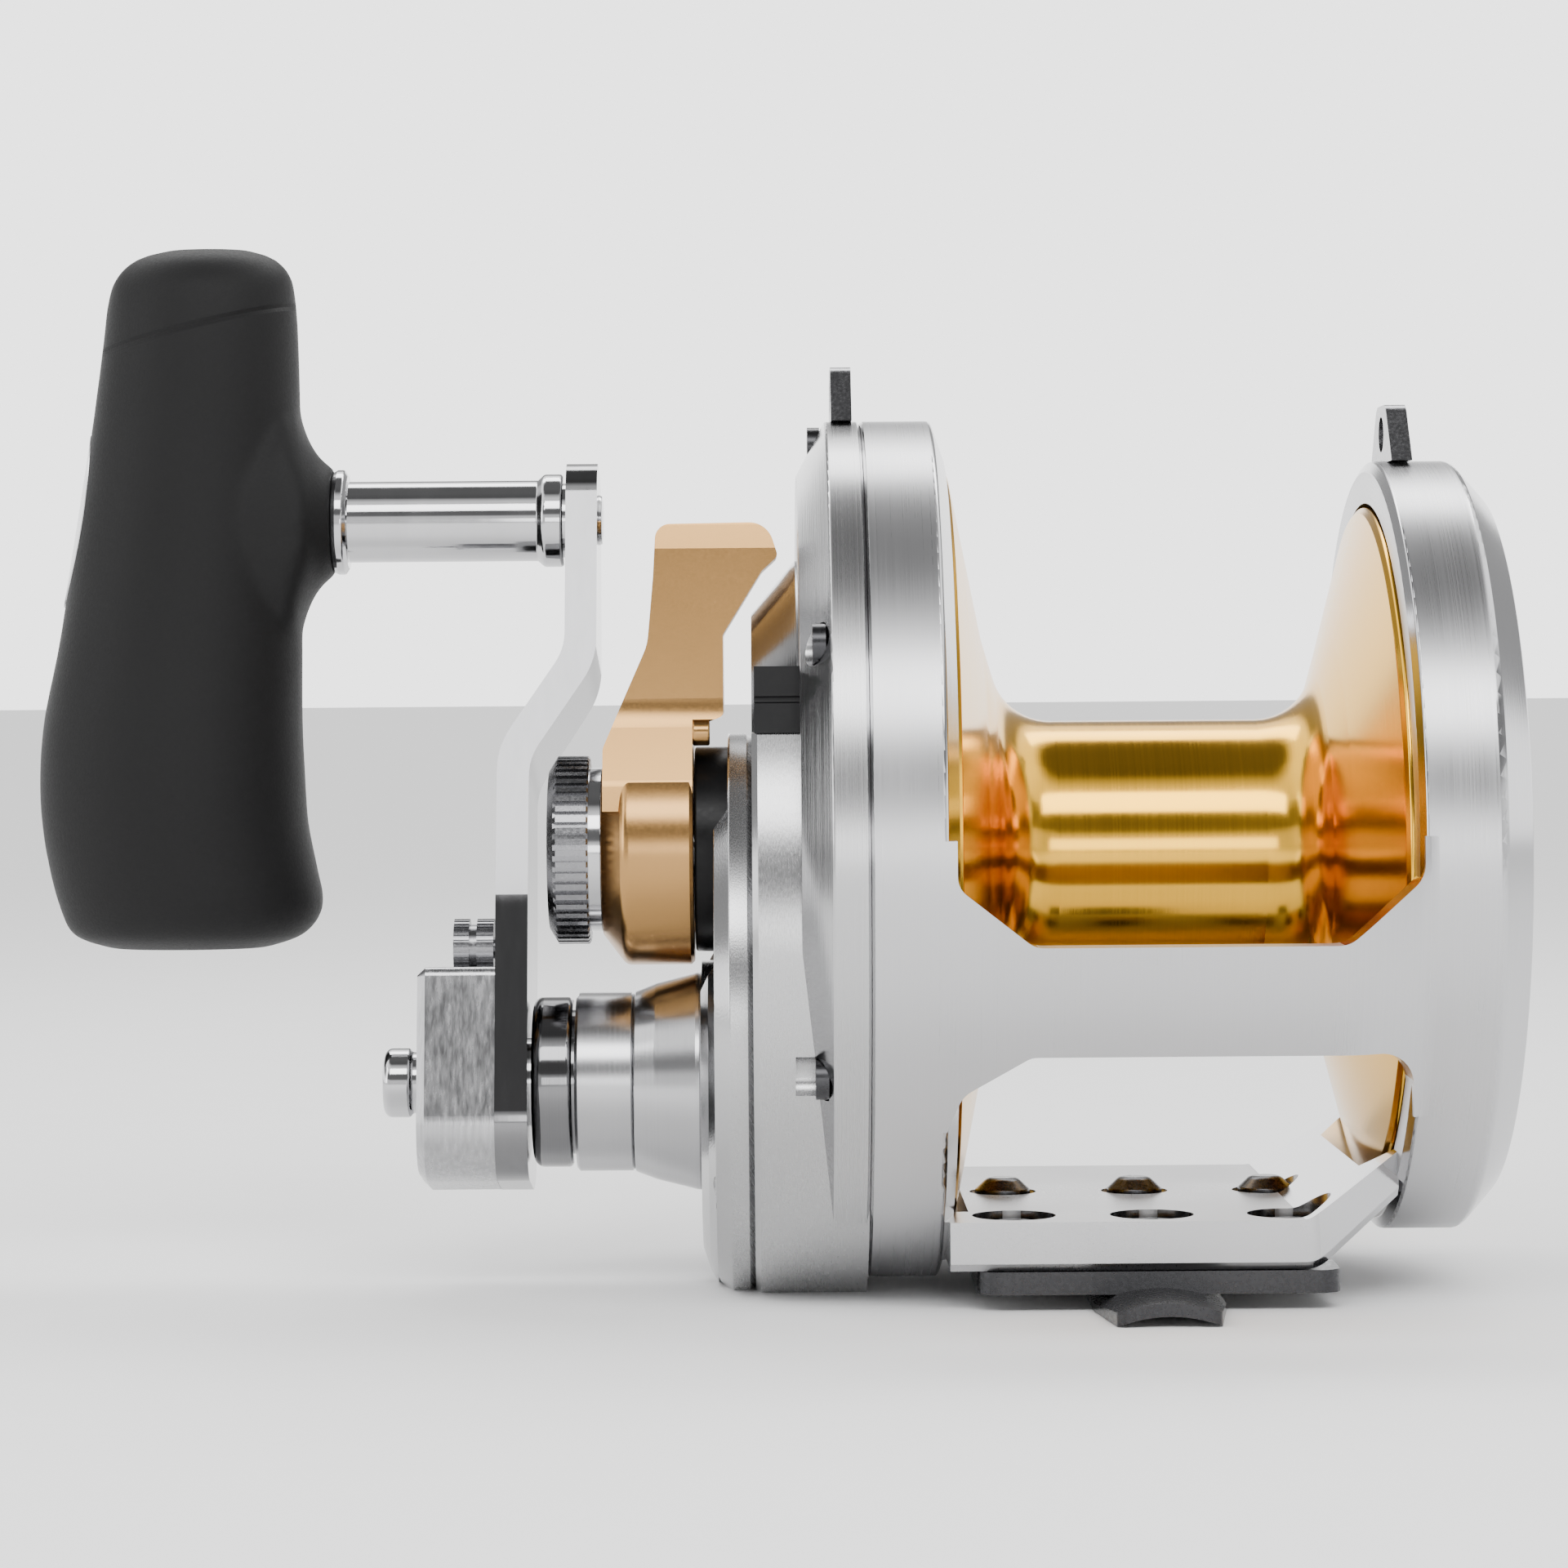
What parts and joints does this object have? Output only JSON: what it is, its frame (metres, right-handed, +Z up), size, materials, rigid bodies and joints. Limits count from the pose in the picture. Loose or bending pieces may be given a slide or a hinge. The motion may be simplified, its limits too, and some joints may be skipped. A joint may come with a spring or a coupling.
{
  "type": "lever-drag trolling reel",
  "caption": "Two-speed lever-drag trolling reel with a crank handle, turned frame, geared spool and a curved foot for a rod seat.",
  "frame": {"origin": "middle of the saddle under the foot, where the reel sits on a rod", "axes": "+X along the spool's axis towards the palm side (the handle is at -X), +Y towards the rod's butt, +Z up from the rod to the reel"},
  "size_m": [0.2171, 0.125, 0.1555],
  "materials": {
    "frame_aluminium": "satin",
    "cover_aluminium": "brushed",
    "polished_steel": "polished",
    "spool_gold": "polished",
    "lever_bronze": "satin",
    "dark_steel": "satin",
    "grip_rubber": "matte",
    "badge_silver": "satin",
    "black_polymer": "satin",
    "knurled_steel": "knurled",
    "gear_steel": "machined",
    "bearing_steel": "polished",
    "carbon_washer": "matte",
    "bush_bronze": "satin"
  },
  "bodies": {
    "frame_body": {"frame": "frame_aluminium", "gear_side_plate": "cover_aluminium", "gear_bridge": "cover_aluminium", "gear_cover": "cover_aluminium", "lever_stop": "black_polymer", "crank_housing": "cover_aluminium", "bearing_cap": "cover_aluminium", "shaft_seal": "black_polymer", "side_plate_screws": "dark_steel", "cover_screws": "dark_steel", "palm_side_plate": "frame_aluminium", "palm_screws": "dark_steel", "spindle_cap": "polished_steel", "spindle": "polished_steel", "belleville_springs": "gear_steel", "pinion_bearing": "bearing_steel", "pawl_pins": "gear_steel", "crank_bearings": "bearing_steel", "cam_ring": "dark_steel", "preset_collar": "polished_steel", "harness_lug_drive": "frame_aluminium", "harness_lug_palm": "frame_aluminium", "reel_foot": "dark_steel", "foot_bolts": "dark_steel", "clamp_screws": "dark_steel"},
    "spool": {"spool": "spool_gold", "spool_bearings": "bearing_steel", "brake_disc": "gear_steel", "click_wheel": "gear_steel"},
    "pinion": {"pinion": "gear_steel", "drive_plate": "gear_steel", "brake_washer": "carbon_washer"},
    "low_gear": {"low_gear": "gear_steel"},
    "crank": {"crank_shaft": "polished_steel", "high_gear": "gear_steel", "ratchet_wheel": "gear_steel", "handle_arm": "polished_steel", "arm_collar": "polished_steel", "shift_housing": "cover_aluminium", "housing_screws": "dark_steel", "grip_post": "polished_steel", "post_rivet": "polished_steel"},
    "shift_button": {"shift_button": "polished_steel", "shift_rod": "polished_steel"},
    "release_knob": {"release_knob": "knurled_steel"},
    "grip": {"grip": "grip_rubber", "grip_badge": "badge_silver", "grip_bushes": "bush_bronze", "grip_ferrule": "polished_steel"},
    "drag_lever": {"drag_lever": "lever_bronze", "lever_detent": "lever_bronze", "lever_cam": "gear_steel"},
    "preset_knob": {"preset_knob": "dark_steel"},
    "clicker": {"click_button": "black_polymer", "click_tongue": "gear_steel"},
    "pawl_front": {"pawl_front": "gear_steel"},
    "pawl_rear": {"pawl_rear": "gear_steel"}
  },
  "joints": [
    {"name": "crank_turn", "type": "hinge", "parent": "frame_body", "child": "crank", "pos_m": [-0.0674, 0, 0.028], "axis": [1, 0, 0], "continuous": true},
    {"name": "spool_turn", "type": "hinge", "parent": "frame_body", "child": "spool", "pos_m": [0.0026, 0, 0.062], "axis": [1, 0, 0], "continuous": true},
    {"name": "pinion_turn", "type": "hinge", "parent": "frame_body", "child": "pinion", "pos_m": [-0.0474, 0, 0.062], "axis": [1, 0, 0], "continuous": true},
    {"name": "low_gear_turn", "type": "hinge", "parent": "frame_body", "child": "low_gear", "pos_m": [-0.052, 0, 0.028], "axis": [1, 0, 0], "continuous": true},
    {"name": "grip_turn", "type": "hinge", "parent": "crank", "child": "grip", "pos_m": [-0.1274, 0.01873, 0.11112], "axis": [1, 0, 0], "continuous": true},
    {"name": "shift_press", "type": "slide", "parent": "crank", "child": "shift_button", "axis": [1, 0, 0], "range_m": [0, 0.003]},
    {"name": "release_turn", "type": "hinge", "parent": "crank", "child": "release_knob", "pos_m": [-0.0964, 0.00438, 0.04741], "axis": [1, 0, 0], "range_deg": [0, 90]},
    {"name": "lever_swing", "type": "hinge", "parent": "frame_body", "child": "drag_lever", "pos_m": [-0.0694, 0, 0.062], "axis": [1, 0, 0], "range_deg": [-55, 41]},
    {"name": "preset_turn", "type": "hinge", "parent": "frame_body", "child": "preset_knob", "pos_m": [-0.0824, 0, 0.062], "axis": [1, 0, 0], "range_deg": [-150, 150]},
    {"name": "click_slide", "type": "slide", "parent": "frame_body", "child": "clicker", "axis": [0, 0, -1], "range_m": [0, 0.004]},
    {"name": "pawl_front_swing", "type": "hinge", "parent": "frame_body", "child": "pawl_front", "pos_m": [-0.0574, -0.0176, 0.022], "axis": [1, 0, 0], "range_deg": [0, 8]},
    {"name": "pawl_rear_swing", "type": "hinge", "parent": "frame_body", "child": "pawl_rear", "pos_m": [-0.0574, 0.0176, 0.022], "axis": [1, 0, 0], "range_deg": [-8, 0]}
  ],
  "couplings": [
    {"joint": "spool_turn", "follows": "crank_turn", "ratio": -3},
    {"joint": "pinion_turn", "follows": "crank_turn", "ratio": -3},
    {"joint": "low_gear_turn", "follows": "crank_turn", "ratio": 2.2308}
  ]
}
